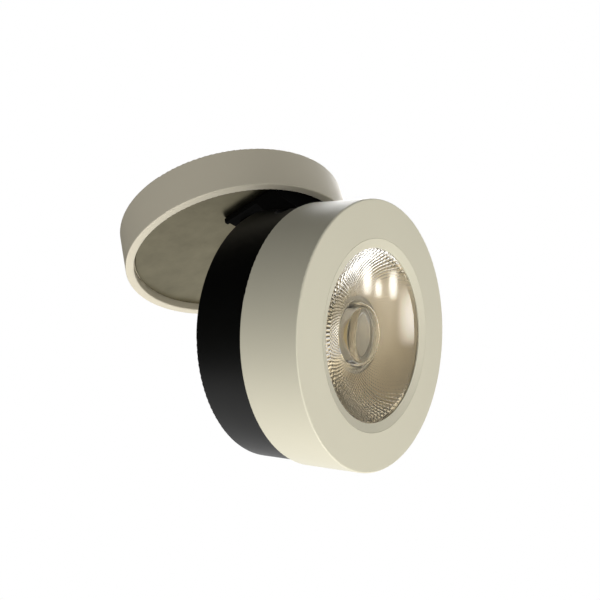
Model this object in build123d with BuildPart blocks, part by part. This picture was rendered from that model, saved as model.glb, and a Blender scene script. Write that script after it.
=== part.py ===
from build123d import *
import os

os.makedirs("parts", exist_ok=True)

# Foldable ceiling spotlight: canopy, turntable in the canopy's recess, and a tilting two-part head.
# Origin: centre of the canopy's ceiling face. +Z is up, +X is the side on which the head is hinged.
# All sizes are in millimetres, angles in degrees. Levels are heights below the ceiling, so they are negative.

# ---------------------------------------------------------------- driving dimensions
# Canopy
canopy_radius = 50.0
canopy_height = 18.5
canopy_wall = 2.5
rim_width = 3.6  # flat ring seen from below
recess_depth = 3.0  # from the rim down to the turntable's seen face
web_thickness = 2.5
edge_radius = 0.5  # soft edges of the painted parts

# Fixing bar on the ceiling
bar_width = 14.0
bar_thickness = 1.5
bar_pad_radius = 13.0
slot_distance = 60.0
slot_length = 12.0
slot_width = 4.5
tab_gap = 0.35  # between the bar's ends and the canopy's round wall
tab_length = 8.5
canopy_screw_drop = 5.0  # below the ceiling
canopy_screw_radius = 1.5
canopy_screw_head_radius = 2.8
canopy_screw_socket_radius = 1.05
canopy_screw_socket_depth = 1.5
countersink_angle = 90.0
ledge_width = 12.0
ledge_reach = 2.0
ledge_drop = 3.9
tongue_gap = 0.3  # between the tongue's root and the ledge

# Cable entry and lead outlet
cable_bore_radius = 3.5
grommet_wall = 1.5
grommet_lip = 1.2
lead_bore_radius = 2.0
lead_outlet_margin = 6.0  # from the hinge block to the lead's outlet

# Terminal block
pole_count = 3
block_depth = 15.0
block_length = 28.8
block_end = 0.9  # beyond the outer poles
block_height = 9.4
block_margin = 7.5  # from the canopy's inner wall
wire_hole_radius = 1.8
wire_hole_height = 3.1  # above the web
screw_well_depth = 4.7
terminal_screw_radius = 1.9
terminal_screw_height = 3.0
terminal_slot_width = 0.6
terminal_slot_depth = 1.0
screw_row_margin = 3.5  # inside the block's long sides
block_screw_radius = 1.5
block_screw_well_radius = 3.0

# Turntable and its swivel
plate_gap = 0.8  # to the rim
plate_thickness = 1.5
shaft_radius = 5.0
shaft_bore_radius = 3.2
shaft_flange_radius = 9.0
shaft_flange_thickness = 1.6
shaft_key_width = 8.6  # across the two flats
glide_inner_radius = 6.0
glide_margin = 15.6  # inside the edge of the turntable
glide_thickness = 0.5
washer_radius = 9.0
stop_thickness = 1.2
stop_arm_width = 1.7
stop_circle_radius = 20.0
stop_pin_radius = 0.8
swivel_spring_thickness = 0.5
swivel_spring_height = 1.0
nut_across_flats = 14.0
nut_thickness = 3.0
nut_corner_ratio = 0.5  # fall per length of the turned corners
shaft_end = 0.6  # stands out above the nut

# Hinge bracket
bracket_width = 50.0
bracket_thickness = 1.8
bracket_start = 12.0  # from the canopy's axis
bracket_margin = 0.8  # inside the edge of the turntable
flange_height = 3.1  # low side flanges, from the plate's face
bend_radius = 2.0
neck_length = 12.6  # from the hinge axis to the inner corner of the ears' necks
neck_drop = 1.5  # outer corner, below the rim
ear_hub_radius = 4.5
lead_slot_width = 14.0
lead_slot_length = 15.0
rivet_radius = 2.0
rivet_head_radius = 3.4
rivet_head_height = 1.1
rivet_distance_x = 15.0
rivet_margin = 9.0  # inside the bracket's sides
rivet_start = 13.0  # centre of the rivets from the bracket's inner end

# Head
front_radius = 51.7
front_depth = 25.0
front_wall = 2.2
face_thickness = 3.0
drum_step = 1.3  # the rear drum is smaller than the front one
rear_depth = 22.0
rear_wall = 2.5
rear_side_wall = 4.4
spigot_length = 5.5
spigot_wall = 2.2
hinge_margin = 9.3  # hinge axis inside the rear drum's side
hinge_inset = 12.8  # hinge axis in front of the head's rear face
closed_gap = 0.5  # between rim and rear face when folded
open_angle = 61.9  # tilt at rest, 0 is folded flat
hinge_block_start = 15.1  # solid metal from the hinge axis inwards
hinge_block_width = 60.0
pin_radius = 2.0
hinge_spring_thickness = 0.3
hinge_spring_height = 0.5
ear_gap = 0.35  # between ears and the walls of their slots
slot_floor = 1.35  # metal between the slots and the heat spreader

# Heat spreader and driver
spreader_thickness = 3.4
spreader_screw_margin = 5.0  # inside the compartment's wall
spreader_screw_count = 3
spreader_screw_angle = 60.0
boss_radius = 3.5
spreader_screw_radius = 1.5
spreader_pilot_depth = 6.8  # in the bosses, behind the spreader
spreader_lead_margin = 4.5  # from the LED holder to the lead's hole
film_thickness = 0.3
board_margin = 9.5  # inside the compartment's wall
board_flat_margin = 12.0  # from the hinge block
board_thickness = 1.6
standoff_height = 3.5
standoff_radius = 3.0
standoff_margin = 5.5  # inside the board's edge
standoff_count = 3
standoff_angle = 110.0  # angle of the first standoff from the hinge side
standoff_sweep = 140.0
board_screw_radius = 1.25
core_length = 16.0  # along the legs
core_width = 16.0
core_thickness = 5.0
core_leg = 2.0  # outer legs and yokes
core_middle_leg = 4.0
core_lift = 2.3  # above the board
winding_length = 11.0
winding_width = 11.2
winding_height = 9.6
winding_corner = 2.0
capacitor_radius = 4.0
capacitor_height = 9.5
capacitor_reach = 16.0
capacitor_gap = 4.0  # between the two
choke_radius = 4.5
choke_bore_radius = 2.0
choke_height = 5.0
choke_rounding = 1.0
choke_reach = 20.5

# Light engine
led_size = 19.0
led_thickness = 1.0
phosphor_radius = 7.0
phosphor_thickness = 0.4
phosphor_chamfer = 0.15
pad_thickness = 0.2
holder_radius = 22.0
holder_thickness = 3.2
holder_window_radius = 8.5
holder_mouth_radius = 12.2
collar_wall = 1.2
collar_height = 1.5
holder_screw_reach = 17.8
holder_screw_radius = 1.5
holder_well_radius = 3.05
holder_well_depth = 1.9

# Lens, its ring and gasket
aperture_radius = 36.8
ring_width = 3.6
ring_slope_depth = 1.1
ring_lip = 0.5
ring_wall = 1.3
lens_flange_thickness = 2.0
lens_neck_radius = 13.0
lens_neck_height = 2.0
lens_side_bulge = 3.0
cavity_mouth_radius = 12.0
cavity_roof_radius = 11.8
cavity_depth = 7.6
cavity_roof_bulge = 2.6
cup_thickness = 0.8
cup_gap = 0.5  # between the cup's wall and the lens's side
cup_end_gap = 0.4  # between the cup's small end and the holder's collar
cup_bulge = 3.3
gasket_thickness = 0.8
gasket_width = 0.9
collar_width = 3.0
shoulder_thickness = 2.0
shoulder_width = 0.8  # overlap with the gasket

# Pan-head screws, as multiples of the shank's radius
pan_head_ratio = 1.9
pan_height_ratio = 1.2
pan_rounding_ratio = 0.4
recess_length_ratio = 2.3
recess_width_ratio = 0.4
recess_depth_ratio = 0.6

# Small chamfers and roundings
fine_chamfer = 0.3
fine_rounding = 0.6

# Clearances
running_gap = 0.05  # shaft or flat face that turns on its seat
loose_gap = 0.2  # screws in clearance holes, drum on spigot, discs in their seats
groove_gap = 0.1  # hairline round the lens ring

# ---------------------------------------------------------------- levels and places worked out from them
rim_level = -canopy_height
plate_face_level = rim_level + recess_depth
plate_back_level = plate_face_level + plate_thickness
glide_level = plate_back_level + running_gap
web_face_level = glide_level + glide_thickness
web_top_level = web_face_level + web_thickness
stop_level = web_top_level + glide_thickness + running_gap
stop_top_level = stop_level + stop_thickness
nut_level = stop_top_level + swivel_spring_height
nut_top_level = nut_level + nut_thickness
shaft_top_level = nut_top_level + shaft_end

recess_radius = canopy_radius - rim_width
canopy_inner_radius = canopy_radius - canopy_wall
plate_radius = recess_radius - plate_gap
glide_outer_radius = plate_radius - glide_margin
block_reach = canopy_inner_radius - block_margin - block_depth / 2
pole_width = (block_length - 2 * block_end) / pole_count
screw_row_distance = block_depth - 2 * screw_row_margin
ear_outer = bracket_width / 2
ear_inner = ear_outer - bracket_thickness
rivet_centre = bracket_start + rivet_start
rivet_distance_y = bracket_width - 2 * rivet_margin

rear_radius = front_radius - drum_step
compartment_radius = rear_radius - rear_side_wall
hinge_reach = rear_radius - hinge_margin
neck_inner_reach = hinge_reach - neck_length
hinge_block_reach = hinge_reach - hinge_block_start
lead_outlet_reach = hinge_block_reach - lead_outlet_margin
spreader_screw_circle = compartment_radius - spreader_screw_margin
spreader_lead_reach = holder_radius + spreader_lead_margin
board_radius = compartment_radius - board_margin
board_flat_reach = hinge_block_reach - board_flat_margin
standoff_circle = board_radius - standoff_margin
capacitor_distance = 2 * capacitor_radius + capacitor_gap

head_depth = front_depth + rear_depth
hinge_depth = head_depth - hinge_inset  # behind the front face
hinge_level = rim_level - closed_gap - hinge_inset
hinge_point = Vector(hinge_reach, 0, hinge_level)

# The head is drawn in its own frame: X towards the hinge, Y as the canopy's, Z from the front face rearwards
head_frame = Plane(
    origin=hinge_point + Vector(-hinge_reach, 0, -hinge_depth).rotate(Axis.Y, -open_angle),
    x_dir=Vector(1, 0, 0).rotate(Axis.Y, -open_angle),
    z_dir=Vector(0, 0, 1).rotate(Axis.Y, -open_angle),
)
head_axis = Axis(head_frame.origin, head_frame.z_dir)
# Its lengthwise section: X is the distance from the head's axis, Y the depth behind the front face
head_section = Plane(head_frame.origin, x_dir=head_frame.x_dir, z_dir=-head_frame.y_dir)

# Depths behind the head's front face
lens_front = ring_slope_depth + ring_lip
lens_flange_back = lens_front + lens_flange_thickness
cup_flange_back = lens_flange_back + cup_thickness
shoulder_front = cup_flange_back + gasket_thickness
compartment_floor = head_depth - rear_wall
spigot_front = front_depth - spigot_length
knuckle_side = ear_inner - running_gap - hinge_spring_height
slot_outer = ear_outer + ear_gap
slot_hub_radius = ear_hub_radius + ear_gap
# The seat of the heat spreader stays one wall in front of the ear slots
spreader_back = hinge_depth - slot_hub_radius - slot_floor
spreader_front = spreader_back - spreader_thickness
led_back = spreader_front - pad_thickness
led_front = led_back - led_thickness
holder_front = spreader_front - holder_thickness
lens_back = holder_front - running_gap
board_back = compartment_floor - standoff_height
board_front = board_back - board_thickness

spigot_radius = front_radius - front_wall - loose_gap
spreader_bore_radius = spigot_radius - spigot_wall
spreader_radius = spreader_bore_radius - loose_gap
ring_inner_radius = aperture_radius - ring_width
lens_flange_radius = aperture_radius - ring_wall - loose_gap
lens_top_radius = lens_flange_radius - gasket_width - cup_thickness - groove_gap


# ---------------------------------------------------------------- shared fasteners
def pan_head_screw(shank_radius, length):
    """Pan-head screw along Z: the head's underside is on the XY plane, the shank goes down."""
    head_radius = shank_radius * pan_head_ratio
    head_height = shank_radius * pan_height_ratio
    recess_length = shank_radius * recess_length_ratio
    recess_width = shank_radius * recess_width_ratio
    with BuildPart() as screw:
        with BuildSketch():
            Circle(shank_radius)
        extrude(amount=-length)
        with BuildSketch():
            Circle(head_radius)
        extrude(amount=head_height)
        chamfer(screw.edges().group_by(Axis.Z)[-1], shank_radius * pan_rounding_ratio)
        with BuildSketch(Plane.XY.offset(head_height)):
            Rectangle(recess_length, recess_width)
            Rectangle(recess_width, recess_length)
        extrude(amount=-shank_radius * recess_depth_ratio, mode=Mode.SUBTRACT)
    return screw.part


def disc_spring(inner_radius, outer_radius, thickness, height):
    """Conical disc spring along Z, standing on the XY plane with its inner edge down."""
    with BuildPart() as spring:
        with BuildSketch(Plane.XZ):
            with BuildLine():
                Polyline(
                    (inner_radius, 0),
                    (outer_radius, height - thickness),
                    (outer_radius, height),
                    (inner_radius, thickness),
                    close=True,
                )
            make_face()
        revolve(axis=Axis.Z)
    return spring.part


def rubber_grommet(bore_radius, panel_thickness):
    """Grommet along Z: its groove holds a panel that lies from the XY plane down."""
    groove_radius = bore_radius + grommet_wall
    lip_radius = groove_radius + grommet_wall
    with BuildPart() as grommet:
        with BuildSketch(Plane.XY.offset(grommet_lip)):
            Circle(lip_radius)
        extrude(amount=-panel_thickness - 2 * grommet_lip)
        with BuildSketch():
            Circle(lip_radius)
            Circle(groove_radius, mode=Mode.SUBTRACT)
        extrude(amount=-panel_thickness, mode=Mode.SUBTRACT)
        with BuildSketch(Plane.XY.offset(grommet_lip)):
            Circle(bore_radius)
        extrude(amount=-panel_thickness - 2 * grommet_lip, mode=Mode.SUBTRACT)
        fillet(grommet.edges().group_by(Axis.Z)[-1].sort_by(SortBy.LENGTH)[-1], fine_rounding)
    return grommet.part


def save(part, node):
    """Name one sub-part and write it."""
    part.label = node
    export_step(part, f"parts/{node}.step")


# ---------------------------------------------------------------- canopy
ledge_level = -ledge_drop
block_top_level = web_top_level + block_height
well_floor_level = block_top_level - screw_well_depth

with BuildPart() as canopy_shell:
    with BuildSketch(Plane.XZ):
        with BuildLine():
            Polyline(
                (shaft_radius + running_gap, web_face_level),
                (recess_radius, web_face_level),
                (recess_radius, rim_level),
                (canopy_radius, rim_level),
                (canopy_radius, 0),
                (canopy_inner_radius, 0),
                (canopy_inner_radius, web_top_level),
                (shaft_radius + running_gap, web_top_level),
                close=True,
            )
        make_face()
    revolve(axis=Axis.Z)
    fillet(canopy_shell.edges().group_by(Axis.Z)[0], edge_radius)
    fillet(canopy_shell.edges().group_by(Axis.Z)[-1].sort_by(SortBy.LENGTH)[-1], edge_radius)
    # ledge on the inner wall that rests on the bar's tongue
    with BuildSketch(Plane.XY.offset(ledge_level)):
        with Locations((0, -canopy_inner_radius + ledge_reach)):
            Rectangle(ledge_width, ledge_reach + canopy_wall / 2, align=(Align.CENTER, Align.MAX))
    extrude(amount=ledge_drop - bar_thickness)
    # countersunk hole for the side screw
    with Locations(Plane((0, canopy_radius, -canopy_screw_drop), x_dir=(1, 0, 0), z_dir=(0, 1, 0))):
        CounterSinkHole(
            radius=canopy_screw_radius + loose_gap,
            counter_sink_radius=canopy_screw_head_radius,
            depth=2 * canopy_wall,
            counter_sink_angle=countersink_angle,
        )
    # holes in the web for the stop pin and the terminal block's screw
    with BuildSketch(Plane.XY.offset(web_top_level)):
        with Locations((-stop_circle_radius, 0)):
            Circle(stop_pin_radius)
        with Locations((block_reach, pole_width / 2)):
            Circle(block_screw_radius)
    extrude(amount=-web_thickness, mode=Mode.SUBTRACT)
save(canopy_shell.part, "canopy_shell")

# The bar's square ends stay inside the round wall at their corners
tab_face = (canopy_inner_radius**2 - (bar_width / 2) ** 2) ** 0.5 - tab_gap
tongue_root = canopy_inner_radius - ledge_reach - tongue_gap
tongue_tip = (canopy_inner_radius**2 - (ledge_width / 2) ** 2) ** 0.5 - tab_gap
tongue_level = ledge_level - running_gap

with BuildPart() as mounting_bar:
    with BuildSketch():
        with Locations((0, (tab_face - tongue_root) / 2)):
            Rectangle(bar_width, tab_face + tongue_root)
        Circle(bar_pad_radius)
        Circle(cable_bore_radius + grommet_wall, mode=Mode.SUBTRACT)
        with GridLocations(0, slot_distance, 1, 2):
            SlotOverall(slot_length, slot_width, rotation=90, mode=Mode.SUBTRACT)
    extrude(amount=-bar_thickness)
    # tab with the thread for the side screw
    with BuildSketch(Plane.XZ.offset(-tab_face)):
        Rectangle(bar_width, tab_length, align=(Align.CENTER, Align.MAX))
        with Locations((0, -canopy_screw_drop)):
            Circle(canopy_screw_radius, mode=Mode.SUBTRACT)
    extrude(amount=bar_thickness)
    # bent tongue under the canopy's ledge
    with BuildSketch(Plane.YZ):
        with BuildLine():
            Polyline(
                (-tongue_root, 0),
                (-tongue_root, tongue_level),
                (-tongue_tip, tongue_level),
                (-tongue_tip, tongue_level - bar_thickness),
                (-tongue_root + bar_thickness, tongue_level - bar_thickness),
                (-tongue_root + bar_thickness, 0),
                close=True,
            )
        make_face()
    extrude(amount=ledge_width / 2 - tongue_gap, both=True)
save(mounting_bar.part, "mounting_bar")

# The bar's grommet keeps clear of the ceiling: its upper lip lies under the bar
with BuildPart() as cable_grommet:
    with BuildSketch():
        Circle(cable_bore_radius + grommet_wall)
        Circle(cable_bore_radius, mode=Mode.SUBTRACT)
    extrude(amount=-bar_thickness - grommet_lip)
    with BuildSketch(Plane.XY.offset(-bar_thickness)):
        Circle(cable_bore_radius + 2 * grommet_wall)
        Circle(cable_bore_radius, mode=Mode.SUBTRACT)
    extrude(amount=-grommet_lip)
save(cable_grommet.part, "cable_grommet")

with BuildPart() as canopy_screw:
    with BuildSketch(Plane.YZ):
        with BuildLine():
            Polyline(
                (canopy_radius, -canopy_screw_drop),
                (canopy_radius, canopy_screw_head_radius - canopy_screw_drop),
                (
                    canopy_radius - canopy_screw_head_radius + canopy_screw_radius,
                    canopy_screw_radius - canopy_screw_drop,
                ),
                (tab_face - 2 * bar_thickness, canopy_screw_radius - canopy_screw_drop),
                (tab_face - 2 * bar_thickness, -canopy_screw_drop),
                close=True,
            )
        make_face()
    revolve(axis=Axis((0, 0, -canopy_screw_drop), (0, 1, 0)))
    with BuildSketch(Plane((0, canopy_radius, -canopy_screw_drop), x_dir=(1, 0, 0), z_dir=(0, 1, 0))):
        RegularPolygon(canopy_screw_socket_radius, 6)
    extrude(amount=-canopy_screw_socket_depth, mode=Mode.SUBTRACT)
save(canopy_screw.part, "canopy_screw")

with BuildPart() as terminal_block:
    with BuildSketch(Plane.XY.offset(web_top_level)):
        with Locations((block_reach, 0)):
            Rectangle(block_depth, block_length)
    extrude(amount=block_height)
    chamfer(terminal_block.edges().group_by(Axis.Z)[-1], edge_radius)
    # screw wells, wire holes right through, and the hole of the fixing screw
    with BuildSketch(Plane.XY.offset(block_top_level)):
        with Locations((block_reach, 0)):
            with GridLocations(screw_row_distance, pole_width, 2, pole_count):
                Circle(terminal_screw_radius)
    extrude(amount=-screw_well_depth, mode=Mode.SUBTRACT)
    with BuildSketch(Plane.YZ.offset(block_reach - block_depth / 2)):
        with Locations((0, web_top_level + wire_hole_height)):
            with GridLocations(pole_width, 0, pole_count, 1):
                Circle(wire_hole_radius)
    extrude(amount=block_depth, mode=Mode.SUBTRACT)
    with Locations((block_reach, pole_width / 2, block_top_level)):
        CounterBoreHole(
            radius=block_screw_radius + loose_gap,
            counter_bore_radius=block_screw_well_radius,
            counter_bore_depth=screw_well_depth,
            depth=block_height,
        )
save(terminal_block.part, "terminal_block")

with BuildPart() as terminal_screws:
    with BuildSketch(Plane.XY.offset(well_floor_level)):
        with Locations((block_reach, 0)):
            with GridLocations(screw_row_distance, pole_width, 2, pole_count):
                Circle(terminal_screw_radius)
    extrude(amount=terminal_screw_height)
    with BuildSketch(Plane.XY.offset(well_floor_level + terminal_screw_height)):
        with Locations((block_reach, 0)):
            with GridLocations(screw_row_distance, pole_width, 2, pole_count):
                Rectangle(terminal_slot_width, 2 * terminal_screw_radius + terminal_slot_width)
    extrude(amount=-terminal_slot_depth, mode=Mode.SUBTRACT)
save(terminal_screws.part, "terminal_screws")

block_screw = pan_head_screw(block_screw_radius, well_floor_level - web_face_level)
with BuildPart() as block_fixing_screw:
    with Locations((block_reach, pole_width / 2, well_floor_level)):
        add(block_screw)
save(block_fixing_screw.part, "block_fixing_screw")

with BuildPart() as stop_pin:
    with BuildSketch(Plane.XY.offset(web_face_level)):
        with Locations((-stop_circle_radius, 0)):
            Circle(stop_pin_radius)
    extrude(amount=stop_top_level - web_face_level)
    chamfer(stop_pin.edges().group_by(Axis.Z)[-1], fine_chamfer)
save(stop_pin.part, "stop_pin")

with BuildPart() as glide_washer:
    with BuildSketch(Plane.XY.offset(glide_level)):
        Circle(glide_outer_radius)
        Circle(glide_inner_radius, mode=Mode.SUBTRACT)
    extrude(amount=glide_thickness)
save(glide_washer.part, "glide_washer")

with BuildPart() as upper_washer:
    with BuildSketch(Plane.XY.offset(web_top_level)):
        Circle(washer_radius)
        Circle(shaft_radius + running_gap, mode=Mode.SUBTRACT)
    extrude(amount=glide_thickness)
save(upper_washer.part, "upper_washer")

# ---------------------------------------------------------------- turntable
# Keyed hole that fits the flats of the shaft
with BuildSketch() as key_hole:
    Circle(shaft_radius)
    Rectangle(shaft_key_width, 2 * shaft_radius, mode=Mode.INTERSECT)

with BuildPart() as turntable_plate:
    with BuildSketch(Plane.XY.offset(plate_face_level)):
        Circle(plate_radius)
        add(key_hole.sketch, mode=Mode.SUBTRACT)
        with Locations((rivet_centre, 0)):
            with GridLocations(rivet_distance_x, rivet_distance_y, 2, 2):
                Circle(rivet_radius, mode=Mode.SUBTRACT)
    extrude(amount=plate_thickness)
    chamfer(turntable_plate.edges().group_by(Axis.Z)[0].sort_by(SortBy.LENGTH)[-1], fine_chamfer)
save(turntable_plate.part, "turntable_plate")

with BuildPart() as swivel_shaft:
    with BuildSketch(Plane.XY.offset(plate_face_level - shaft_flange_thickness)):
        Circle(shaft_flange_radius)
    extrude(amount=shaft_flange_thickness)
    chamfer(swivel_shaft.edges().group_by(Axis.Z)[0], fine_chamfer)
    with BuildSketch(Plane.XY.offset(plate_face_level)):
        add(key_hole.sketch)
    extrude(amount=stop_top_level - plate_face_level)
    with BuildSketch(Plane.XY.offset(stop_top_level)):
        Circle(shaft_radius)
    extrude(amount=shaft_top_level - stop_top_level)
    chamfer(swivel_shaft.edges().group_by(Axis.Z)[-1], fine_chamfer)
    with BuildSketch(Plane.XY.offset(shaft_top_level)):
        Circle(shaft_bore_radius)
    extrude(amount=plate_face_level - shaft_flange_thickness - shaft_top_level, mode=Mode.SUBTRACT)
save(swivel_shaft.part, "swivel_shaft")

with BuildPart() as stop_washer:
    with BuildSketch(Plane.XY.offset(stop_level)):
        Circle(washer_radius)
        Rectangle(
            stop_circle_radius + stop_pin_radius,
            stop_arm_width,
            align=(Align.MIN, Align.CENTER),
        )
        add(key_hole.sketch, mode=Mode.SUBTRACT)
    extrude(amount=stop_thickness)
save(stop_washer.part, "stop_washer")

swivel_disc = disc_spring(
    shaft_radius + running_gap,
    washer_radius,
    swivel_spring_thickness,
    swivel_spring_height,
)
with BuildPart() as swivel_spring:
    with Locations((0, 0, stop_top_level)):
        add(swivel_disc)
save(swivel_spring.part, "swivel_spring")

with BuildPart() as swivel_nut:
    with BuildSketch(Plane.XY.offset(nut_level)):
        RegularPolygon(nut_across_flats / 2, 6, major_radius=False)
        Circle(shaft_radius, mode=Mode.SUBTRACT)
    extrude(amount=nut_thickness)
    # turned corners
    with BuildSketch(Plane.XZ):
        with BuildLine():
            Polyline(
                (nut_across_flats / 2, nut_top_level),
                (nut_across_flats, nut_top_level),
                (nut_across_flats, nut_top_level - nut_across_flats / 2 * nut_corner_ratio),
                close=True,
            )
        make_face()
    revolve(axis=Axis.Z, mode=Mode.SUBTRACT)
save(swivel_nut.part, "swivel_nut")

bracket_reach = plate_radius - bracket_margin
flange_level = plate_face_level - flange_height
base_level = plate_face_level - bracket_thickness
neck_outer_reach = (bracket_reach**2 - ear_outer**2) ** 0.5
neck_level = rim_level - neck_drop

with BuildPart() as hinge_bracket:
    # folded channel: base on the plate, low side flanges
    with BuildSketch(Plane.YZ.offset(bracket_start)) as channel:
        with Locations((0, plate_face_level)):
            Rectangle(bracket_width, flange_height, align=(Align.CENTER, Align.MAX))
        fillet(channel.vertices().group_by(Axis.Y)[-1], bend_radius)
        with Locations((0, base_level)):
            Rectangle(2 * ear_inner, flange_height, align=(Align.CENTER, Align.MAX), mode=Mode.SUBTRACT)
    extrude(amount=bracket_reach - bracket_start)
    # its outer end follows the turntable's edge
    with BuildSketch(Plane.XY.offset(flange_level)):
        Circle(bracket_reach)
    extrude(amount=flange_height, mode=Mode.INTERSECT)
    # ears, leaning outwards under the rim to the hinge axis
    for far_side in (ear_outer, -ear_inner):
        with BuildSketch(Plane.XZ.offset(-far_side)):
            with BuildLine():
                CenterArc((hinge_reach, hinge_level), ear_hub_radius, 0, 360)
                Polyline(
                    (neck_inner_reach, flange_level),
                    (neck_inner_reach, base_level),
                    (neck_outer_reach, base_level),
                    (neck_outer_reach, neck_level),
                )
            make_hull()
            with Locations((hinge_reach, hinge_level)):
                Circle(pin_radius + running_gap, mode=Mode.SUBTRACT)
        extrude(amount=bracket_thickness)
    # passage for the lead, and rivet holes
    with BuildSketch(Plane.XY.offset(base_level)):
        with Locations((bracket_start + lead_slot_length - lead_slot_width / 2, 0)):
            Circle(lead_slot_width / 2)
        with Locations((bracket_start, 0)):
            Rectangle(
                lead_slot_length - lead_slot_width / 2,
                lead_slot_width,
                align=(Align.MIN, Align.CENTER),
            )
        with Locations((rivet_centre, 0)):
            with GridLocations(rivet_distance_x, rivet_distance_y, 2, 2):
                Circle(rivet_radius)
    extrude(amount=bracket_thickness, mode=Mode.SUBTRACT)
save(hinge_bracket.part, "hinge_bracket")

with BuildPart() as bracket_rivets:
    with BuildSketch(Plane.XY.offset(plate_back_level)):
        with Locations((rivet_centre, 0)):
            with GridLocations(rivet_distance_x, rivet_distance_y, 2, 2):
                Circle(rivet_radius)
    extrude(amount=base_level - plate_back_level)
    with BuildSketch(Plane.XY.offset(base_level)):
        with Locations((rivet_centre, 0)):
            with GridLocations(rivet_distance_x, rivet_distance_y, 2, 2):
                Circle(rivet_head_radius)
    extrude(amount=-rivet_head_height)
    chamfer(bracket_rivets.edges().group_by(Axis.Z)[0], fine_rounding)
save(bracket_rivets.part, "bracket_rivets")

# ---------------------------------------------------------------- head: rear housing and hinge
# The ears' slots hold the necks from folded flat to a right angle: a neck corner's place at a right angle
# is its folded place turned a quarter turn about the hinge axis
neck_inner = Vector(neck_inner_reach - hinge_reach, flange_level - hinge_level)
neck_outer = Vector(neck_outer_reach - hinge_reach, neck_level - hinge_level)
slot_far = 2 * hinge_inset

with BuildPart() as rear_housing:
    with BuildSketch(head_section):
        with BuildLine():
            Polyline(
                (0, compartment_floor),
                (compartment_radius, compartment_floor),
                (compartment_radius, spreader_back),
                (spreader_bore_radius, spreader_back),
                (spreader_bore_radius, spigot_front),
                (spigot_radius, spigot_front),
                (spigot_radius, front_depth),
                (rear_radius, front_depth),
                (rear_radius, head_depth),
                (0, head_depth),
                close=True,
            )
        make_face()
    revolve(axis=head_axis)
    rear_edges = rear_housing.faces().sort_by(head_axis)[-1].edges()
    fillet(rear_edges, edge_radius)
    # solid block round the hinge
    with BuildSketch(head_frame.offset(spreader_back)):
        Circle(compartment_radius)
        with Locations((hinge_block_reach, 0)):
            Rectangle(
                compartment_radius,
                hinge_block_width,
                align=(Align.MIN, Align.CENTER),
                mode=Mode.INTERSECT,
            )
    extrude(amount=compartment_floor - spreader_back)
    # bosses for the heat spreader's screws, standoffs for the driver board
    with BuildSketch(head_frame.offset(spreader_back)):
        with PolarLocations(spreader_screw_circle, spreader_screw_count, spreader_screw_angle):
            Circle(boss_radius)
    extrude(amount=compartment_floor - spreader_back)
    with BuildSketch(head_frame.offset(board_back)):
        with PolarLocations(standoff_circle, standoff_count, standoff_angle, standoff_sweep, endpoint=True):
            Circle(standoff_radius)
    extrude(amount=standoff_height)
    # corner rolled off round the hinge axis, so that it turns under the canopy's rim
    with BuildSketch(head_section.offset(-rear_radius)):
        with Locations((hinge_reach, hinge_depth)):
            Rectangle(slot_far, slot_far, align=(Align.MIN, Align.MIN))
            Circle(hinge_inset, mode=Mode.SUBTRACT)
    extrude(amount=2 * rear_radius, mode=Mode.SUBTRACT)
    # slots for the bracket's ears
    for far_side in (slot_outer, -knuckle_side):
        with BuildSketch(head_section.offset(-far_side)):
            with BuildLine():
                CenterArc((hinge_reach, hinge_depth), slot_hub_radius, 0, 360)
                Polyline(
                    (hinge_reach + neck_inner.X - ear_gap, hinge_depth + neck_inner.Y - ear_gap),
                    (hinge_reach + neck_inner.X - ear_gap, hinge_depth + slot_far),
                    (hinge_reach + slot_far, hinge_depth + slot_far),
                    (hinge_reach + neck_outer.Y, hinge_depth - neck_outer.X - ear_gap),
                )
            make_hull()
        extrude(amount=slot_outer - knuckle_side, mode=Mode.SUBTRACT)
    # bore for the pin, wider outside the slots
    with BuildSketch(head_section.offset(-rear_radius)):
        with Locations((hinge_reach, hinge_depth)):
            Circle(pin_radius)
    extrude(amount=2 * rear_radius, mode=Mode.SUBTRACT)
    for far_side in (rear_radius, -slot_outer):
        with BuildSketch(head_section.offset(-far_side)):
            with Locations((hinge_reach, hinge_depth)):
                Circle(pin_radius + loose_gap)
        extrude(amount=rear_radius - slot_outer, mode=Mode.SUBTRACT)
    # pilot holes of the screws, and the lead's hole in the rear wall
    with BuildSketch(head_frame.offset(spreader_back)):
        with PolarLocations(spreader_screw_circle, spreader_screw_count, spreader_screw_angle):
            Circle(spreader_screw_radius)
    extrude(amount=spreader_pilot_depth, mode=Mode.SUBTRACT)
    with BuildSketch(head_frame.offset(board_back)):
        with PolarLocations(standoff_circle, standoff_count, standoff_angle, standoff_sweep, endpoint=True):
            Circle(board_screw_radius)
    extrude(amount=standoff_height, mode=Mode.SUBTRACT)
    with BuildSketch(head_frame.offset(compartment_floor)):
        with Locations((lead_outlet_reach, 0)):
            Circle(lead_bore_radius + grommet_wall)
    extrude(amount=rear_wall, mode=Mode.SUBTRACT)
save(rear_housing.part, "rear_housing")

with BuildPart() as hinge_pin:
    with BuildSketch(head_section.offset(-ear_outer)):
        with Locations((hinge_reach, hinge_depth)):
            Circle(pin_radius)
    extrude(amount=2 * ear_outer)
    chamfer(hinge_pin.edges().filter_by(GeomType.CIRCLE), fine_chamfer)
save(hinge_pin.part, "hinge_pin")

hinge_disc = disc_spring(
    pin_radius + running_gap,
    ear_hub_radius,
    hinge_spring_thickness,
    hinge_spring_height,
)
with BuildPart() as hinge_springs:
    for outward in (1, -1):
        with Locations(Plane(hinge_point + Vector(0, outward * knuckle_side, 0), z_dir=(0, outward, 0))):
            add(hinge_disc)
save(hinge_springs.part, "hinge_springs")

grommet = rubber_grommet(lead_bore_radius, rear_wall)
with BuildPart() as lead_grommet:
    with Locations(head_frame.offset(head_depth)):
        with Locations((lead_outlet_reach, 0)):
            add(grommet)
save(lead_grommet.part, "lead_grommet")

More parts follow.
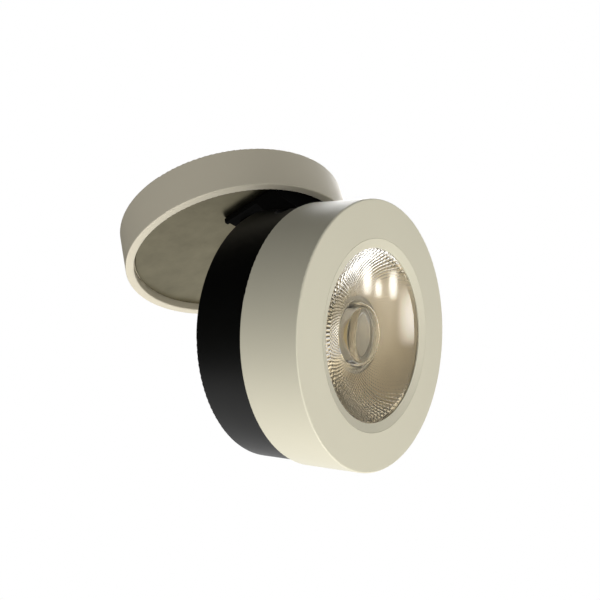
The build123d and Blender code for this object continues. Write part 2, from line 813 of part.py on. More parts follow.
# ---------------------------------------------------------------- head: driver
with BuildPart() as driver_board:
    with BuildSketch(head_frame.offset(board_front)):
        Circle(board_radius)
        with Locations((board_flat_reach, 0)):
            Rectangle(
                2 * board_radius,
                2 * board_radius,
                align=(Align.MAX, Align.CENTER),
                mode=Mode.INTERSECT,
            )
        with PolarLocations(standoff_circle, standoff_count, standoff_angle, standoff_sweep, endpoint=True):
            Circle(board_screw_radius + loose_gap, mode=Mode.SUBTRACT)
    extrude(amount=board_thickness)
save(driver_board.part, "driver_board")

window_width = (core_width - core_middle_leg) / 2 - core_leg
with BuildPart() as driver_transformer:
    # core lying flat: outer legs, yokes and a middle leg between its two windows
    with BuildSketch(head_frame.offset(board_front - core_lift)):
        Rectangle(core_width, core_length)
        with GridLocations(core_middle_leg + window_width, 0, 2, 1):
            Rectangle(window_width, core_length - 2 * core_leg, mode=Mode.SUBTRACT)
    extrude(amount=-core_thickness)
    # winding round the middle leg, on a bobbin that stands on the board
    with BuildSketch(head_section.offset(-winding_length / 2)):
        with Locations((0, board_front - winding_height / 2)):
            RectangleRounded(winding_width, winding_height, winding_corner)
    extrude(amount=winding_length)
save(driver_transformer.part, "driver_transformer")

with BuildPart() as driver_capacitors:
    with BuildSketch(head_frame.offset(board_front)):
        with Locations((-capacitor_reach, 0)):
            with GridLocations(0, capacitor_distance, 1, 2):
                Circle(capacitor_radius)
    extrude(amount=-capacitor_height)
    chamfer(driver_capacitors.edges().filter_by(GeomType.CIRCLE), fine_rounding)
save(driver_capacitors.part, "driver_capacitors")

with BuildPart() as driver_choke:
    with BuildSketch(head_frame.offset(board_front)):
        with Locations((0, -choke_reach)):
            Circle(choke_radius)
            Circle(choke_bore_radius, mode=Mode.SUBTRACT)
    extrude(amount=-choke_height)
    chamfer(driver_choke.edges().filter_by(GeomType.CIRCLE), choke_rounding)
save(driver_choke.part, "driver_choke")

# Head screws are entered from the front, so their heads point forwards
board_screw = pan_head_screw(board_screw_radius, standoff_height)
with BuildPart() as board_screws:
    with Locations(Plane(head_frame.offset(board_front).origin, head_frame.x_dir, -head_frame.z_dir)):
        with PolarLocations(standoff_circle, standoff_count, standoff_angle, standoff_sweep, endpoint=True):
            add(board_screw)
save(board_screws.part, "board_screws")

with BuildPart() as insulating_film:
    with BuildSketch(head_frame.offset(spreader_back)):
        Circle(board_radius)
        with Locations((board_flat_reach, 0)):
            Rectangle(
                2 * board_radius,
                2 * board_radius,
                align=(Align.MAX, Align.CENTER),
                mode=Mode.INTERSECT,
            )
        with Locations((-spreader_lead_reach, 0)):
            Circle(lead_bore_radius, mode=Mode.SUBTRACT)
    extrude(amount=film_thickness)
save(insulating_film.part, "insulating_film")

# ---------------------------------------------------------------- head: light engine
with BuildPart() as heat_spreader:
    with BuildSketch(head_frame.offset(spreader_front)):
        Circle(spreader_radius)
        with PolarLocations(spreader_screw_circle, spreader_screw_count, spreader_screw_angle):
            Circle(spreader_screw_radius + loose_gap, mode=Mode.SUBTRACT)
        with Locations((-spreader_lead_reach, 0)):
            Circle(lead_bore_radius, mode=Mode.SUBTRACT)
        with GridLocations(0, 2 * holder_screw_reach, 1, 2):
            Circle(holder_screw_radius, mode=Mode.SUBTRACT)
    extrude(amount=spreader_thickness)
save(heat_spreader.part, "heat_spreader")

spreader_screw = pan_head_screw(spreader_screw_radius, spreader_thickness + spreader_pilot_depth)
with BuildPart() as spreader_screws:
    with Locations(Plane(head_frame.offset(spreader_front).origin, head_frame.x_dir, -head_frame.z_dir)):
        with PolarLocations(spreader_screw_circle, spreader_screw_count, spreader_screw_angle):
            add(spreader_screw)
save(spreader_screws.part, "spreader_screws")

with BuildPart() as thermal_pad:
    with BuildSketch(head_frame.offset(led_back)):
        Rectangle(led_size, led_size)
    extrude(amount=pad_thickness)
save(thermal_pad.part, "thermal_pad")

with BuildPart() as led_board:
    with BuildSketch(head_frame.offset(led_front)):
        Rectangle(led_size, led_size)
    extrude(amount=led_thickness)
save(led_board.part, "led_board")

with BuildPart() as led_phosphor:
    with BuildSketch(head_frame.offset(led_front)):
        Circle(phosphor_radius)
    extrude(amount=-phosphor_thickness)
    chamfer(led_phosphor.edges().sort_by(head_axis)[0], phosphor_chamfer)
save(led_phosphor.part, "led_phosphor")

collar_radius = lens_neck_radius + 2 * loose_gap
with BuildPart() as led_holder:
    with BuildSketch(head_section):
        with BuildLine():
            Polyline(
                (holder_window_radius, led_front),
                (holder_mouth_radius, holder_front),
                (collar_radius, holder_front),
                (collar_radius, holder_front - collar_height),
                (collar_radius + collar_wall, holder_front - collar_height),
                (collar_radius + collar_wall, holder_front),
                (holder_radius, holder_front),
                (holder_radius, spreader_front),
                (holder_window_radius, spreader_front),
                close=True,
            )
        make_face()
    revolve(axis=head_axis)
    # pocket for the LED board, screw holes
    with BuildSketch(head_frame.offset(led_front)):
        Rectangle(led_size + loose_gap, led_size + loose_gap)
    extrude(amount=spreader_front - led_front, mode=Mode.SUBTRACT)
    with BuildSketch(head_frame.offset(holder_front)):
        with GridLocations(0, 2 * holder_screw_reach, 1, 2):
            Circle(holder_screw_radius + loose_gap)
    extrude(amount=holder_thickness, mode=Mode.SUBTRACT)
    with BuildSketch(head_frame.offset(holder_front)):
        with GridLocations(0, 2 * holder_screw_reach, 1, 2):
            Circle(holder_well_radius)
    extrude(amount=holder_well_depth, mode=Mode.SUBTRACT)
save(led_holder.part, "led_holder")

holder_screw_seat = holder_front + holder_well_depth
holder_screw = pan_head_screw(holder_screw_radius, spreader_back - holder_screw_seat)
with BuildPart() as holder_screws:
    with Locations(Plane(head_frame.offset(holder_screw_seat).origin, head_frame.x_dir, -head_frame.z_dir)):
        with GridLocations(0, 2 * holder_screw_reach, 1, 2):
            add(holder_screw)
save(holder_screws.part, "holder_screws")

# ---------------------------------------------------------------- head: lens and front housing
cavity_roof = lens_back - cavity_depth
lens_neck = lens_back - lens_neck_height
with BuildPart() as lens:
    with BuildSketch(head_section):
        with BuildLine():
            Polyline(
                (0, cavity_roof + cavity_roof_bulge),
                (0, lens_front),
                (lens_flange_radius, lens_front),
                (lens_flange_radius, lens_flange_back),
                (lens_top_radius, lens_flange_back),
            )
            SagittaArc((lens_top_radius, lens_flange_back), (lens_neck_radius, lens_neck), -lens_side_bulge)
            Polyline(
                (lens_neck_radius, lens_neck),
                (lens_neck_radius, lens_back),
                (cavity_mouth_radius, lens_back),
                (cavity_roof_radius, cavity_roof),
            )
            TangentArc(
                (0, cavity_roof + cavity_roof_bulge),
                (cavity_roof_radius, cavity_roof),
                tangent=(1, 0),
            )
        make_face()
    revolve(axis=head_axis)
save(lens.part, "lens")

# White cup that holds the lens by its flange and closes the space behind its facets
cup_mouth = lens_top_radius + loose_gap / 2
cup_end_radius = collar_radius + collar_wall + cup_end_gap
cup_end = lens_neck - cup_gap / 2
with BuildPart() as lens_cup:
    with BuildSketch(head_section):
        with BuildLine():
            SagittaArc((cup_mouth, lens_flange_back), (cup_end_radius, cup_end), -cup_bulge)
            Polyline(
                (cup_end_radius, cup_end),
                (cup_end_radius, cup_end + cup_thickness),
            )
            SagittaArc(
                (cup_end_radius, cup_end + cup_thickness),
                (cup_mouth + cup_thickness, cup_flange_back),
                cup_bulge,
            )
            Polyline(
                (cup_mouth + cup_thickness, cup_flange_back),
                (lens_flange_radius, cup_flange_back),
                (lens_flange_radius, lens_flange_back),
                (cup_mouth, lens_flange_back),
            )
        make_face()
    revolve(axis=head_axis)
save(lens_cup.part, "lens_cup")

with BuildPart() as lens_gasket:
    with BuildSketch(head_frame.offset(cup_flange_back)):
        Circle(lens_flange_radius)
        Circle(lens_flange_radius - gasket_width, mode=Mode.SUBTRACT)
    extrude(amount=gasket_thickness)
save(lens_gasket.part, "lens_gasket")

# The ring's face slopes down to the lens, its skirt goes round the flanges of lens and cup
with BuildPart() as lens_ring:
    with BuildSketch(head_section):
        with BuildLine():
            Polyline(
                (aperture_radius - groove_gap, 0),
                (ring_inner_radius, ring_slope_depth),
                (ring_inner_radius, lens_front),
                (aperture_radius - ring_wall, lens_front),
                (aperture_radius - ring_wall, cup_flange_back),
                (aperture_radius - groove_gap, cup_flange_back),
                close=True,
            )
        make_face()
    revolve(axis=head_axis)
save(lens_ring.part, "lens_ring")

shoulder_back = shoulder_front + shoulder_thickness
shoulder_radius = lens_flange_radius - shoulder_width
with BuildPart() as front_housing:
    with BuildSketch(head_section):
        with BuildLine():
            Polyline(
                (aperture_radius, 0),
                (front_radius, 0),
                (front_radius, front_depth),
                (front_radius - front_wall, front_depth),
                (front_radius - front_wall, face_thickness),
                (aperture_radius + collar_width, face_thickness),
                (aperture_radius + collar_width, shoulder_back),
                (shoulder_radius, shoulder_back),
                (shoulder_radius, shoulder_front),
                (aperture_radius, shoulder_front),
                close=True,
            )
        make_face()
    revolve(axis=head_axis)
    outer_circles = front_housing.edges().filter_by(GeomType.CIRCLE).group_by(SortBy.LENGTH)[-1]
    fillet(outer_circles, edge_radius)
save(front_housing.part, "front_housing")
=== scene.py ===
import math

import bmesh
import bpy
from mathutils import Matrix, Vector


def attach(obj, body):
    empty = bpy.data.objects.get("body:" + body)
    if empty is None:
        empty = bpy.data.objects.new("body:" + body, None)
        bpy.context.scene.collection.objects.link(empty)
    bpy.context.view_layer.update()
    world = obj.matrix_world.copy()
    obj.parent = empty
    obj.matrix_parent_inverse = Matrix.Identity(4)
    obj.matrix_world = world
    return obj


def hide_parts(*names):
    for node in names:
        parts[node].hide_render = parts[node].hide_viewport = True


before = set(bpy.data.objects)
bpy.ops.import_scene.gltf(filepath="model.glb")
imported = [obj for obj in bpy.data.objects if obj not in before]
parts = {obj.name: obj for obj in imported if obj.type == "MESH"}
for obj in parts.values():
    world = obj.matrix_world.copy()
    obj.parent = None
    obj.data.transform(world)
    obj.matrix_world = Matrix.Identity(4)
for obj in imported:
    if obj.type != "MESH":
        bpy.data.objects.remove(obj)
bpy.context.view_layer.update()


# ---------------------------------------------------------------- canopy shell
# Turned aluminium cup that covers the fixing bar. It is powder coated in a satin warm white, which shows
# a very fine orange peel and is slightly uneven in tone and gloss.
class Signal:
    """One output of a finish's nodes. Sums on it add Math nodes."""

    def __init__(self, finish, socket):
        self.finish = finish
        self.socket = socket

    def math(self, operation, *values):
        return self.finish.node("ShaderNodeMath", {"operation": operation}, dict(enumerate(values)))

    def __add__(self, other):
        return self.math("ADD", self, other)

    __radd__ = __add__

    def __sub__(self, other):
        return self.math("SUBTRACT", self, other)

    def __rsub__(self, other):
        return self.math("SUBTRACT", other, self)

    def __mul__(self, other):
        return self.math("MULTIPLY", self, other)

    __rmul__ = __mul__


class Finish:
    """A material, or the world, made of nodes. Its place is the piece's own coordinates, in metres."""

    def __init__(self, name, owner=None):
        self.material = owner or bpy.data.materials.new(name)
        self.material.use_nodes = True
        self.tree = self.material.node_tree
        self.shader = self.tree.nodes.get("Principled BSDF")
        self.place = self.node("ShaderNodeTexCoord", output="Object")

    def node(self, kind, settings=None, inputs=None, output=0):
        """Adds a node: its settings first, then the values or links of its sockets."""
        made = self.tree.nodes.new(kind)
        for name, value in (settings or {}).items():
            if name == "stops":
                ramp = made.color_ramp.elements
                while len(ramp) < len(value):
                    ramp.new(1.0)
                for element, (place, shade) in zip(ramp, value):
                    element.position = place
                    element.color = (shade, shade, shade, 1.0)
            else:
                setattr(made, name, value)
        for key, value in (inputs or {}).items():
            self.feed(made.inputs[key], value)
        return Signal(self, made.outputs[output])

    def feed(self, socket, value):
        """Links a signal to a socket, or writes a plain value into it."""
        if isinstance(value, Signal):
            self.tree.links.new(value.socket, socket)
        else:
            socket.default_value = value

    def wear(self, **sockets):
        """Sets the shader's own sockets; an underscore in a name stands for a space."""
        for name, value in sockets.items():
            self.feed(self.shader.inputs[name.replace("_", " ")], value)
        return self.material

    def noise(self, scale, detail=2.0, roughness=0.5, place=None):
        """Soft blotches, about as many to the metre as the scale says."""
        sockets = {"Vector": place or self.place, "Scale": scale, "Detail": detail, "Roughness": roughness}
        return self.node("ShaderNodeTexNoise", {}, sockets)

    def mix(self, factor, low, high):
        return self.node("ShaderNodeMix", {"data_type": "RGBA"}, {0: factor, 6: low, 7: high}, 2)

    def steps(self, value, *stops):
        return self.node("ShaderNodeValToRGB", {"stops": stops}, {"Fac": value})

    def bump(self, height, distance):
        return self.node("ShaderNodeBump", {}, {"Height": height, "Distance": distance})


def powder_coat(name, colour, shade, roughness, specular, peel):
    """Sprayed and baked coat of two tones, colour and shade. The peel is its orange peel's height in metres."""
    coat = Finish(name)
    cloud = coat.noise(38.0, 3.0)
    grain = coat.noise(2600.0, 2.0)
    fine = coat.noise(9000.0, 1.0)
    return coat.wear(
        Base_Color=coat.mix(cloud * 0.7 + fine * 0.3, colour, shade),
        Roughness=roughness + (cloud - 0.5) * 0.10 + (grain - 0.5) * 0.08,
        Normal=coat.bump(grain * 0.7 + fine * 0.3, peel),
        Specular_IOR_Level=specular,
    )


def finish_parts(material, *names):
    for name in names:
        parts[name].data.materials.clear()
        parts[name].data.materials.append(material)


canopy_white = powder_coat(
    "canopy_white",
    colour=(0.85, 0.785, 0.62, 1.0),
    shade=(0.80, 0.735, 0.58, 1.0),
    roughness=0.42,
    specular=0.35,
    peel=0.000012,
)
finish_parts(canopy_white, "canopy_shell")


# ---------------------------------------------------------------- turntable plate
# Steel disc in the canopy's recess, zinc plated and left bare. It is satin, with the soft mottling of the
# rolled sheet and fine scratches from handling, and it turns under the canopy's web.
def rolled_steel(name, colour, shade, roughness):
    """Bare plated sheet: mottled, with scratches that run along X."""
    steel = Finish(name)
    mottle = steel.noise(120.0, 4.0, 0.6)
    patch = steel.noise(34.0, 2.0)
    drawn = steel.node("ShaderNodeMapping", {}, {"Vector": steel.place, "Scale": (0.05, 1.0, 1.0)})
    scratch = steel.noise(900.0, 2.0, place=drawn)
    grain = steel.noise(5200.0, 2.0)
    tone = steel.steps(mottle * 0.55 + patch * 0.45, (0.32, 0.0), (0.62, 1.0))
    return steel.wear(
        Base_Color=steel.mix(tone, shade, colour),
        Metallic=1.0,
        Roughness=roughness + (mottle - 0.5) * 0.16 + (scratch - 0.5) * 0.12,
        Normal=steel.bump(scratch * 0.5 + grain * 0.3 + mottle * 0.4, 0.00002),
    )


plate_steel = rolled_steel("plate_steel", (0.265, 0.24, 0.16, 1.0), (0.195, 0.175, 0.115, 1.0), 0.36)
finish_parts(plate_steel, "turntable_plate")


# ---------------------------------------------------------------- fixing bar, swivel and screws
# Stamped and turned steel hardware with bright zinc plating, slightly blue and cloudy. The springs and the
# hinge pin are hardened and oiled, so they are darker.
def darker(colour, share):
    return (*(share * tone for tone in colour[:3]), 1.0)


def zinc_plate(name, colour, roughness):
    zinc = Finish(name)
    cloud = zinc.noise(260.0, 3.0)
    grain = zinc.noise(4200.0, 2.0)
    return zinc.wear(
        Base_Color=zinc.mix(cloud, colour, darker(colour, 0.8)),
        Metallic=1.0,
        Roughness=roughness + (cloud - 0.5) * 0.2,
        Normal=zinc.bump(grain, 0.000006),
    )


zinc_steel = zinc_plate("zinc_steel", (0.62, 0.63, 0.64, 1.0), 0.30)
finish_parts(
    zinc_steel,
    "mounting_bar",
    "swivel_shaft",
    "stop_washer",
    "swivel_nut",
    "stop_pin",
    "canopy_screw",
    "block_fixing_screw",
    "terminal_screws",
    "board_screws",
    "spreader_screws",
    "holder_screws",
)
spring_steel = zinc_plate("spring_steel", (0.36, 0.35, 0.34, 1.0), 0.26)
finish_parts(spring_steel, "swivel_spring", "hinge_pin", "hinge_springs")


# ---------------------------------------------------------------- washers, terminal block and grommets
# Moulded nylon, rubber and silicone pieces: matt, with the faint grain of the mould. They are pressed or
# clamped in place.
def moulded(name, colour, roughness, grain_height):
    plastic = Finish(name)
    cloud = plastic.noise(150.0, 2.0)
    grain = plastic.noise(3800.0, 2.0)
    return plastic.wear(
        Base_Color=plastic.mix(cloud * 0.6 + grain * 0.4, colour, darker(colour, 0.88)),
        Roughness=roughness + (cloud - 0.5) * 0.12,
        Normal=plastic.bump(grain, grain_height),
    )


nylon = moulded("nylon", (0.78, 0.76, 0.70, 1.0), 0.5, 0.00001)
finish_parts(nylon, "glide_washer", "upper_washer", "terminal_block")
black_rubber = moulded("black_rubber", (0.022, 0.022, 0.022, 1.0), 0.7, 0.00002)
finish_parts(black_rubber, "cable_grommet", "lead_grommet")
silicone = moulded("silicone", (0.50, 0.51, 0.52, 1.0), 0.6, 0.00001)
finish_parts(silicone, "lens_gasket", "thermal_pad")

# ---------------------------------------------------------------- rear housing and hinge bracket
# The rear housing is a turned aluminium casting with a satin black powder coat. The folded steel bracket that
# is riveted to the turntable has a rougher, duller black coat.
head_black = powder_coat(
    "head_black",
    colour=(0.0025, 0.0025, 0.002, 1.0),
    shade=(0.004, 0.004, 0.0035, 1.0),
    roughness=0.40,
    specular=0.30,
    peel=0.000016,
)
finish_parts(head_black, "rear_housing")
bracket_black = powder_coat(
    "bracket_black",
    colour=(0.003, 0.003, 0.0025, 1.0),
    shade=(0.005, 0.005, 0.0045, 1.0),
    roughness=0.70,
    specular=0.03,
    peel=0.00002,
)
finish_parts(bracket_black, "hinge_bracket", "bracket_rivets")

# ---------------------------------------------------------------- driver
# Green board with a wound ferrite transformer, two sleeved capacitors and a ring choke, all inside the rear
# housing, behind an amber film.
board_green = moulded("board_green", (0.035, 0.16, 0.06, 1.0), 0.35, 0.000008)
finish_parts(board_green, "driver_board")
ferrite = moulded("ferrite", (0.05, 0.05, 0.055, 1.0), 0.55, 0.00002)
finish_parts(ferrite, "driver_transformer", "driver_choke")
sleeve = moulded("capacitor_sleeve", (0.03, 0.035, 0.06, 1.0), 0.28, 0.000004)
finish_parts(sleeve, "driver_capacitors")
film = moulded("insulating_film", (0.55, 0.30, 0.05, 1.0), 0.35, 0.000004)
finish_parts(film, "insulating_film")

# ---------------------------------------------------------------- light engine
# Turned aluminium spreader, a white aluminium-core board with its yellow phosphor, the moulded holder that
# centres the lens over it, and the white moulded cup that the lens sits in and that shows through it.
bare_aluminium = zinc_plate("bare_aluminium", (0.80, 0.80, 0.79, 1.0), 0.36)
finish_parts(bare_aluminium, "heat_spreader")
board_white = moulded("board_white", (0.78, 0.72, 0.60, 1.0), 0.4, 0.000004)
finish_parts(board_white, "led_board")
phosphor = moulded("phosphor", (0.80, 0.66, 0.34, 1.0), 0.45, 0.00001)
finish_parts(phosphor, "led_phosphor")
holder_white = moulded("holder_white", (0.82, 0.80, 0.74, 1.0), 0.45, 0.00001)
finish_parts(holder_white, "led_holder")
cup_white = moulded("cup_white", (0.93, 0.82, 0.62, 1.0), 0.4, 0.000004)
finish_parts(cup_white, "lens_cup")

# ---------------------------------------------------------------- lens
# Clear acrylic collimating lens, moulded in one piece. Its flat front is polished; its bulging back is covered
# with small diamond facets, which mirror the light, and a hollow in its neck stands over the phosphor.
facet_count = 84
facet_rows = 20
facet_crown = 0.0003  # height of a facet's middle over its edges
back_bulge = 0.0030
# radius on the head's axis and depth behind the head's face, in metres
flange_inside = Vector((0.0335, 0.0036))
flange_outside = (0.0353, 0.0036)
edge_front = (0.0353, 0.0018)
front_edge = (0.0351, 0.0016)
front_rings = (0.030, 0.020, 0.010, 0.004)
neck_start = Vector((0.0130, 0.01935))
neck_end = (0.0129, 0.02135)
hollow_mouth = (0.0120, 0.02135)
hollow_corner = (0.0118, 0.01375)
hollow_rise = 0.0026
hollow_steps = 8
# at rest the head is open by 61.9 degrees about its hinge
hinge = Vector((0.0411, 0.0, -0.0318))
opening = math.radians(-61.9)
face_below_hinge = 0.0342
head_place = (
    Matrix.Translation(hinge)
    @ Matrix.Rotation(opening, 4, "Y")
    @ Matrix.Translation((-hinge.x, 0.0, -face_below_hinge))
)


def first_ring(mesh, radius, depth):
    """Starts a turned shape: a ring of edges round the head's axis."""
    level = Matrix.Translation((0, 0, depth))
    ring = bmesh.ops.create_circle(mesh, segments=facet_count, radius=radius, matrix=level)
    return {"edges": list({e for v in ring["verts"] for e in v.link_edges}), "radius": radius, "depth": depth}


def next_ring(mesh, ring, radius, depth, turn=0.0):
    """Extrudes a ring to another radius and depth, turned by a share of one facet."""
    grown = bmesh.ops.extrude_edge_only(mesh, edges=ring["edges"])["geom"]
    verts = [g for g in grown if isinstance(g, bmesh.types.BMVert)]
    edges = [g for g in grown if isinstance(g, bmesh.types.BMEdge) and all(v in verts for v in g.verts)]
    across = radius / ring["radius"]
    bmesh.ops.scale(mesh, verts=verts, vec=(across, across, 1.0))
    bmesh.ops.translate(mesh, verts=verts, vec=(0.0, 0.0, depth - ring["depth"]))
    angle = turn * math.tau / facet_count
    bmesh.ops.rotate(mesh, verts=verts, cent=(0, 0, 0), matrix=Matrix.Rotation(angle, 3, "Z"))
    return {"edges": edges, "radius": radius, "depth": depth}


def close_ring(mesh, ring, depth):
    """Ends a turned shape in a pole on the axis."""
    grown = bmesh.ops.extrude_edge_only(mesh, edges=ring["edges"])["geom"]
    verts = [g for g in grown if isinstance(g, bmesh.types.BMVert)]
    bmesh.ops.pointmerge(mesh, verts=verts, merge_co=Vector((0.0, 0.0, depth)))


lens_mesh = bmesh.new()
# flange, edge and polished front
back_ring = first_ring(lens_mesh, *flange_inside)
ring = back_ring
for radius, depth in (flange_outside, edge_front, front_edge, *((r, front_edge[1]) for r in front_rings)):
    ring = next_ring(lens_mesh, ring, radius, depth)
close_ring(lens_mesh, ring, front_edge[1])
# faceted back; its rows narrow towards the neck as the facets do, so that every facet keeps its shape
chord = neck_start - flange_inside
outward = Vector((chord.y, -chord.x)).normalized()
facet_rings = [back_ring]
for row in range(1, facet_rows + 1):
    radius = flange_inside.x * (neck_start.x / flange_inside.x) ** (row / facet_rows)
    share = (flange_inside.x - radius) / (flange_inside.x - neck_start.x)
    inset = facet_crown * min(1.0, row / 2)
    point = flange_inside + chord * share + outward * (back_bulge * 4 * share * (1 - share) - inset)
    facet_rings.append(next_ring(lens_mesh, facet_rings[-1], point.x, point.y, 0.5))
facet_faces = {f for r in facet_rings[1:] for e in r["edges"] for f in e.link_faces}
bmesh.ops.triangulate(lens_mesh, faces=list(facet_faces), quad_method="SHORT_EDGE")
inner_edges = [e for r in facet_rings[1:-1] for e in r["edges"]]
facet_verts = {v for r in facet_rings for e in r["edges"] for v in e.verts}
# neck, and the hollow with its curved roof
ring = facet_rings[-1]
for radius, depth in (neck_end, hollow_mouth, hollow_corner):
    ring = next_ring(lens_mesh, ring, radius, depth)
for step in range(1, hollow_steps):
    share = 1 - step / hollow_steps
    roof = hollow_corner[1] + hollow_rise * (1 - share * share)
    ring = next_ring(lens_mesh, ring, hollow_corner[0] * share, roof)
close_ring(lens_mesh, ring, hollow_corner[1] + hollow_rise)
bmesh.ops.recalc_face_normals(lens_mesh, faces=lens_mesh.faces)
for face in lens_mesh.faces:
    face.smooth = True
# pairs of triangles become diamonds with sharp edges and a crowned middle
bmesh.ops.dissolve_edges(lens_mesh, edges=inner_edges, use_verts=False)
facets = [f for f in lens_mesh.faces if all(v in facet_verts for v in f.verts)]
for facet in facets:
    for edge in facet.edges:
        edge.smooth = False
bmesh.ops.poke(lens_mesh, faces=[f for f in facets if len(f.verts) == 4], offset=facet_crown)
lens_mesh.transform(head_place)


def place_piece(name, mesh, material):
    """Turns a finished bmesh into an object of the scene."""
    data = bpy.data.meshes.new(name)
    mesh.to_mesh(data)
    mesh.free()
    data.materials.append(material)
    piece = bpy.data.objects.new(name, data)
    bpy.context.scene.collection.objects.link(piece)
    return piece


clear = Finish("clear_acrylic")
clear.wear(
    Base_Color=(0.985, 0.98, 0.95, 1.0),
    Roughness=0.02 + clear.noise(1800.0) * 0.02,
    IOR=1.49,
    Transmission_Weight=1.0,
)
lens = place_piece("lens_clear", lens_mesh, clear.material)
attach(lens, "head")
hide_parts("lens")

# ---------------------------------------------------------------- lens ring and front housing
# Two turned aluminium pieces with the canopy's white coat, set darker here as painted shade so that the head's
# face reads dimmer than the canopy's rim: the ring slopes down to the lens inside the flat face of the front
# housing, and holds the lens and its cup.
head_white_painted_shade = powder_coat(
    "head_white_painted_shade",
    colour=(0.77, 0.735, 0.58, 1.0),
    shade=(0.72, 0.685, 0.54, 1.0),
    roughness=0.40,
    specular=0.35,
    peel=0.000012,
)
finish_parts(head_white_painted_shade, "front_housing", "lens_ring")

# ---------------------------------------------------------------- floor
# Pale, matt floor well below the fixture. It takes the fixture's shadow, and looks nearly white in the
# picture, in gloss and through the lens.
floor_level = -0.85
floor_size = 20.0
floor_glow = 0.7
white = (1.0, 1.0, 1.0, 1.0)


def seen_directly(finish):
    """1 on the rays of the picture, of gloss and of glass, and 0 on the light's own."""
    path = finish.tree.nodes.new("ShaderNodeLightPath")
    total = 0.0
    for kind in ("Is Camera Ray", "Is Glossy Ray", "Is Transmission Ray"):
        total = Signal(finish, path.outputs[kind]) + total
    return finish.node("ShaderNodeMath", {"operation": "MINIMUM"}, {0: total, 1: 1.0})


floor_mesh = bmesh.new()
level = Matrix.Translation((0, 0, floor_level))
bmesh.ops.create_grid(floor_mesh, x_segments=1, y_segments=1, size=floor_size, matrix=level)
pale = Finish("floor_pale")
tone = pale.mix(pale.noise(6.0), (0.80, 0.79, 0.77, 1.0), (0.84, 0.83, 0.81, 1.0))
pale.wear(Base_Color=tone, Roughness=0.9)
glow = pale.node("ShaderNodeEmission", {}, {"Color": white, "Strength": 1.0})
surface = Signal(pale, pale.shader.outputs[0])
lit = pale.node("ShaderNodeMixShader", {}, {0: seen_directly(pale) * floor_glow, 1: surface, 2: glow})
pale.feed(pale.tree.nodes["Material Output"].inputs["Surface"], lit)
floor = place_piece("floor", floor_mesh, pale.material)
floor.visible_diffuse = False
floor.visible_shadow = False

# ---------------------------------------------------------------- lamps
# Two wide, soft lamps: a near one below the fixture, which lights the canopy's rim and the head's underside,
# and a higher one behind it, which lights what faces the ceiling.
middle = Vector((0.03, 0.0, -0.06))


def soft_lamp(name, offset, size, power, colour=(1.0, 1.0, 1.0)):
    """A round lamp that stands off the fixture's middle and faces it."""
    lamp = bpy.data.lights.new(name, "AREA")
    lamp.shape = "DISK"
    lamp.size = size
    lamp.energy = power
    lamp.color = colour
    stand = bpy.data.objects.new(name, lamp)
    bpy.context.scene.collection.objects.link(stand)
    stand.location = middle + offset
    stand.rotation_euler = (middle - (middle + offset)).to_track_quat("-Z", "Y").to_euler()
    stand.visible_camera = False


soft_lamp("lamp_below", 0.6 * Vector((0.08, -0.05, -0.99)), 0.5, 2.2, (1.0, 0.985, 0.95))
soft_lamp("lamp_above", 0.9 * Vector((-0.10, 0.60, 0.79)), 0.6, 4.0)

# ---------------------------------------------------------------- screens
# Parts of a large ball round the fixture, which only gloss or glass sees. A dark hood keeps the black drum
# black, a warm room with a bright table shows through the lens, and a dim wall in its polished front.
ball_radius = 1.2
black = (0.0, 0.0, 0.0, 1.0)


def hide_from(piece, *kinds):
    for kind in kinds:
        setattr(piece, "visible_" + kind, False)


def screen(name, towards, start, hidden, glow=black, level=0.0):
    """The part of the ball beyond a share of its radius, which the picture and one more kind of ray don't see."""
    cover = Finish(name)
    cover.wear(Base_Color=black, Roughness=1.0, Specular_IOR_Level=0.0)
    cover.wear(Emission_Color=glow, Emission_Strength=level)
    shell = bmesh.new()
    bmesh.ops.create_icosphere(shell, subdivisions=4, radius=ball_radius)
    aim = Vector(towards).normalized()
    every = shell.verts[:] + shell.edges[:] + shell.faces[:]
    bmesh.ops.bisect_plane(shell, geom=every, plane_co=aim * start * ball_radius, plane_no=aim, clear_inner=True)
    piece = place_piece(name, shell, cover.material)
    hide_from(piece, "camera", "diffuse", "shadow", "volume_scatter", hidden)
    return cover


screen("dark_hood", (-0.25, -0.5, 0.83), 0.20, "transmission")
room = screen("warm_wall", (1.0, -0.25, 0.1), -0.98, "glossy", level=1.9)
height = room.node("ShaderNodeSeparateXYZ", {}, {"Vector": room.place}, 2)
table = room.node(
    "ShaderNodeMapRange",
    {"interpolation_type": "SMOOTHSTEP"},
    {"Value": height, "From Min": -0.60, "From Max": -0.12, "To Min": 1.0, "To Max": 0.03},
)
patches = room.steps(room.noise(2.2, 2.0, 0.5), (0.36, 0.25), (0.46, 0.55), (0.60, 0.75), (0.68, 1.0))
room.wear(Emission_Color=room.mix(table * patches, black, (1.0, 0.84, 0.56, 1.0)))
screen("dim_wall", (0.58, 0.81, -0.05), 0.90, "transmission", (1.0, 0.95, 0.85, 1.0), 0.45)

# ---------------------------------------------------------------- window panes
# Five bright upright panes behind the fixture, a metre away. Only gloss sees them: they are the streaks in
# the lens's polished front.
pane_facing = Matrix(((-0.624, 0.460, -0.596), (0.572, -0.280, -0.802), (0.531, 0.842, 0.036))).to_4x4()


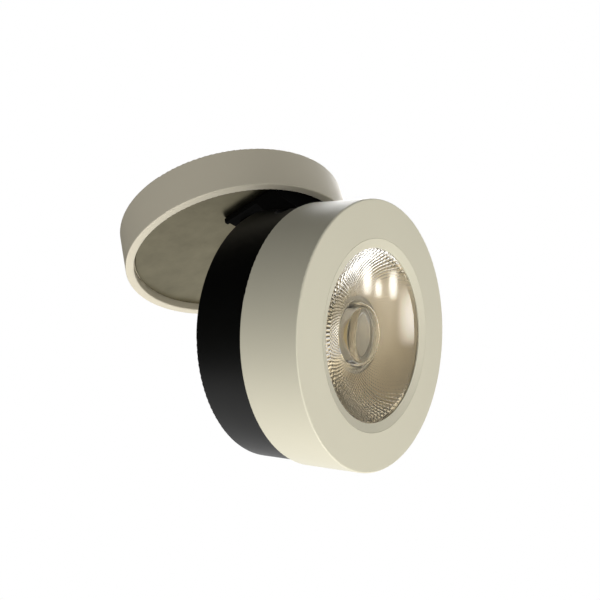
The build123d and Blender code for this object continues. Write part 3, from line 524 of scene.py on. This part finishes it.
def pane(name, place, width, height, level):
    """A flat sheet that glows most in its middle and fades to its edges."""
    sheet = bmesh.new()
    sheet.loops.layers.uv.new()
    stand = Matrix.Translation(place) @ pane_facing @ Matrix.Diagonal((width, height, 1.0, 1.0))
    bmesh.ops.create_grid(sheet, x_segments=1, y_segments=1, size=0.5, matrix=stand, calc_uvs=True)
    bright = Finish(name)
    flat = bright.node("ShaderNodeTexCoord", output="UV")
    across = bright.node("ShaderNodeSeparateXYZ", {}, {"Vector": flat}, 0)
    along = bright.node("ShaderNodeSeparateXYZ", {}, {"Vector": flat}, 1)
    fade = across * (1.0 - across) * along * (1.0 - along) * 16.0
    bright.wear(
        Base_Color=black,
        Specular_IOR_Level=0.0,
        Emission_Color=bright.mix(fade, black, (1.0, 0.97, 0.90, 1.0)),
        Emission_Strength=level,
    )
    piece = place_piece(name, sheet, bright.material)
    hide_from(piece, "camera", "diffuse", "shadow", "transmission", "volume_scatter")


pane("pane_1", (0.6701, 0.7699, -0.0819), 0.014, 0.046, 6.0)
pane("pane_2", (0.6513, 0.7929, -0.0960), 0.015, 0.052, 14.0)
pane("pane_3", (0.6389, 0.8108, -0.0980), 0.012, 0.032, 13.0)
pane("pane_4", (0.6300, 0.8253, -0.0820), 0.015, 0.050, 14.0)
pane("pane_5", (0.5935, 0.8599, -0.1050), 0.050, 0.100, 7.0)

# ---------------------------------------------------------------- backdrop
# White all round in the picture, in gloss and through glass. As a light it is bright below the fixture and
# faint above, like a pale room under a ceiling.
world = bpy.data.worlds.new("backdrop")
bpy.context.scene.world = world
sky = Finish("backdrop", world)
direction = sky.node("ShaderNodeTexCoord", output="Generated")
height = sky.node("ShaderNodeSeparateXYZ", {}, {"Vector": direction}, 2)
below = sky.node(
    "ShaderNodeMapRange",
    {"interpolation_type": "SMOOTHSTEP"},
    {"Value": height, "From Min": -0.25, "From Max": 0.12, "To Min": 0.70, "To Max": 0.08},
)
seen = seen_directly(sky)
background = sky.tree.nodes["Background"]
sky.feed(background.inputs["Color"], white)
sky.feed(background.inputs["Strength"], below * (1.0 - seen) + seen)

# ---------------------------------------------------------------- camera
# It stands in front and to the right of the canopy and below it, and looks up at the head.
camera_data = bpy.data.cameras.new("camera")
camera_data.sensor_width = 36.0
camera_data.lens = 54.07
camera_data.clip_start = 0.01
camera = bpy.data.objects.new("camera", camera_data)
bpy.context.scene.collection.objects.link(camera)
right = Vector((0.789173, 0.571921, -0.223859))
up = Vector((0.444495, -0.280330, 0.850788))
back = Vector((0.423828, -0.770923, -0.475445))
turn = Matrix((right, up, back)).transposed().to_4x4()
camera.matrix_world = Matrix.Translation((0.179066, -0.283902, -0.228342)) @ turn
bpy.context.scene.camera = camera
bpy.context.scene.view_settings.view_transform = "Standard"
